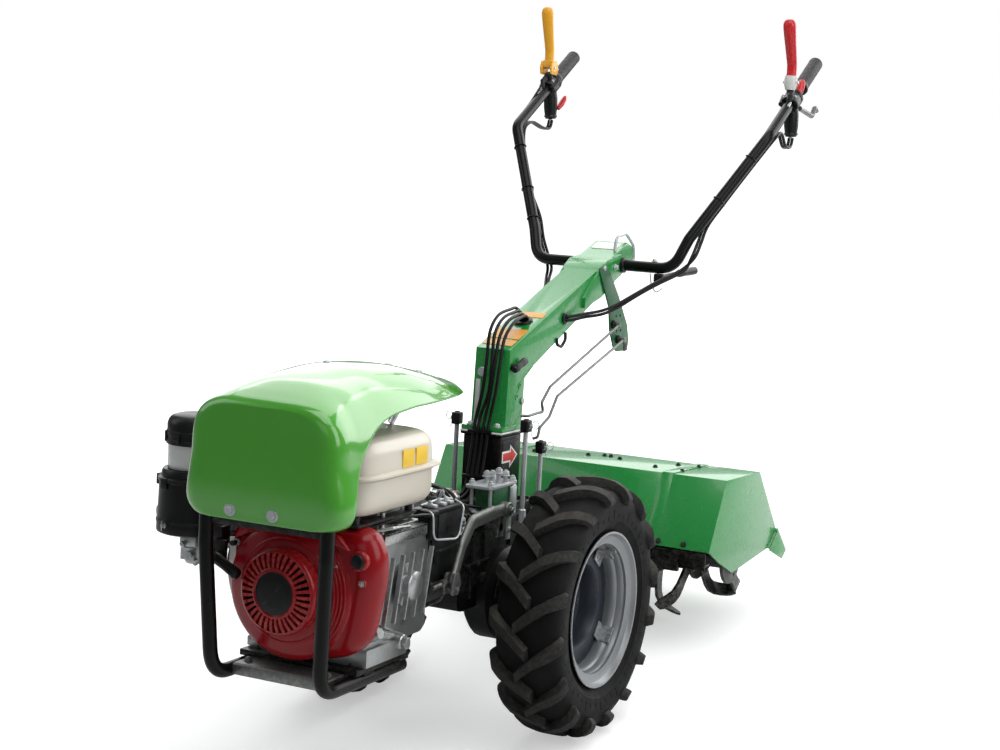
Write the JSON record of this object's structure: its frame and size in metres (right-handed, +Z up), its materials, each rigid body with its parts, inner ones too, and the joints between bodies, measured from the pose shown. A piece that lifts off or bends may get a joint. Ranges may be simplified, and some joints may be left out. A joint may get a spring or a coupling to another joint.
{
  "type": "two-wheel walking tractor with rear rotary tiller",
  "caption": "Walking tractor: front engine under a green bonnet, lugged tyres on one axle, a box arm with a U handlebar, and a hooded rotary tiller behind.",
  "frame": {"origin": "centre of the bounding box's underside, on the floor the machine stands on", "axes": "+Y towards the rear of the machine, where the operator walks, +X towards its left wheel, +Z up; the machine leans tail-down onto its skid"},
  "size_m": [0.706, 1.8936, 1.3737],
  "materials": {
    "bonnet_green": "glossy moulded green",
    "frame_green": "gloss green paint with light wear",
    "frame_black": "satin black paint",
    "black_casting": "black painted iron casting",
    "bell_black": "black painted aluminium casting",
    "engine_alloy": "as-cast aluminium",
    "fan_red": "gloss red paint",
    "black_plastic": "moulded black plastic",
    "tank_cream": "cream gloss moulding",
    "steel": "zinc plated and bare steel",
    "rim_silver": "silver-grey paint",
    "tyre": "black rubber, lugged",
    "grip_rubber": "ribbed black rubber",
    "lever_yellow": "yellow coated lever",
    "lever_red": "red coated lever"
  },
  "bodies": {
    "chassis": {"gearbox": "black_casting", "bell_housing": "bell_black", "engine_block": "engine_alloy", "fan_cover": "fan_red", "recoil_starter": "black_plastic", "starter_grip": "black_plastic", "fuel_tank": "tank_cream", "fuel_cap": "black_plastic", "air_cleaner": "black_plastic", "precleaner": "black_plastic", "muffler": "steel", "engine_sump_plate": "frame_black", "front_hoop": "frame_black", "bonnet": "bonnet_green", "lower_column": "frame_black", "gear_lever_range": "frame_black", "gear_lever_speed": "frame_black", "pto_lever": "frame_black", "clutch_lever": "steel", "selector_block": "frame_green", "inspection_cap": "steel", "linkage_box": "black_plastic", "carburettor": "engine_alloy", "hood_front_bar": "frame_black", "column_cables": "black_plastic", "tiller_gearcase": "black_casting", "tiller_hood": "frame_green", "hood_extension_left": "frame_green", "hood_extension_right": "frame_green", "depth_skid": "steel"},
    "wheel_left": {"tyre_left": "tyre", "rim_left": "rim_silver", "hub_left": "black_casting"},
    "wheel_right": {"tyre_right": "tyre", "rim_right": "rim_silver", "hub_right": "black_casting"},
    "rotor": {"tiller_rotor_left": "steel", "tiller_rotor_right": "steel"},
    "flap": {"rear_flap": "frame_green"},
    "turning_arm": {"steering_arm": "frame_green", "lever_plate": "frame_green", "column_lock_lever": "black_plastic", "link_rod_range": "steel", "link_rod_speed": "steel", "arm_cables": "black_plastic"},
    "handlebars": {"bar_cables_left": "black_plastic", "bar_cables_right": "black_plastic", "handlebar": "frame_black", "grip_left": "grip_rubber", "grip_right": "grip_rubber", "control_clamp_left": "black_plastic", "control_clamp_right": "black_plastic", "engine_stop_lever": "lever_red", "throttle_lever": "lever_yellow", "handlebar_lock_lever": "black_plastic"}
  },
  "joints": [
    {"name": "wheel_left_spin", "type": "hinge", "parent": "chassis", "child": "wheel_left", "pos_m": [0.256, -0.23284, 0.255], "axis": [1, 0, 0], "continuous": true},
    {"name": "wheel_right_spin", "type": "hinge", "parent": "chassis", "child": "wheel_right", "pos_m": [-0.256, -0.23284, 0.255], "axis": [1, 0, 0], "continuous": true},
    {"name": "rotor_spin", "type": "hinge", "parent": "chassis", "child": "rotor", "pos_m": [0, 0.42249, 0.17646], "axis": [1, 0, 0], "continuous": true},
    {"name": "flap_hinge", "type": "hinge", "parent": "chassis", "child": "flap", "pos_m": [0, 0.66128, 0.18007], "axis": [1, 0, 0], "range_deg": [0, 60]},
    {"name": "arm_swivel", "type": "hinge", "parent": "chassis", "child": "turning_arm", "pos_m": [0, -0.08886, 0.5518], "axis": [0, 0.1115, 0.9938], "range_deg": [-25, 25]},
    {"name": "handlebar_tilt", "type": "hinge", "parent": "turning_arm", "child": "handlebars", "pos_m": [0, 0.43995, 0.81651], "axis": [1, 0, 0], "range_deg": [-20, 20]}
  ]
}
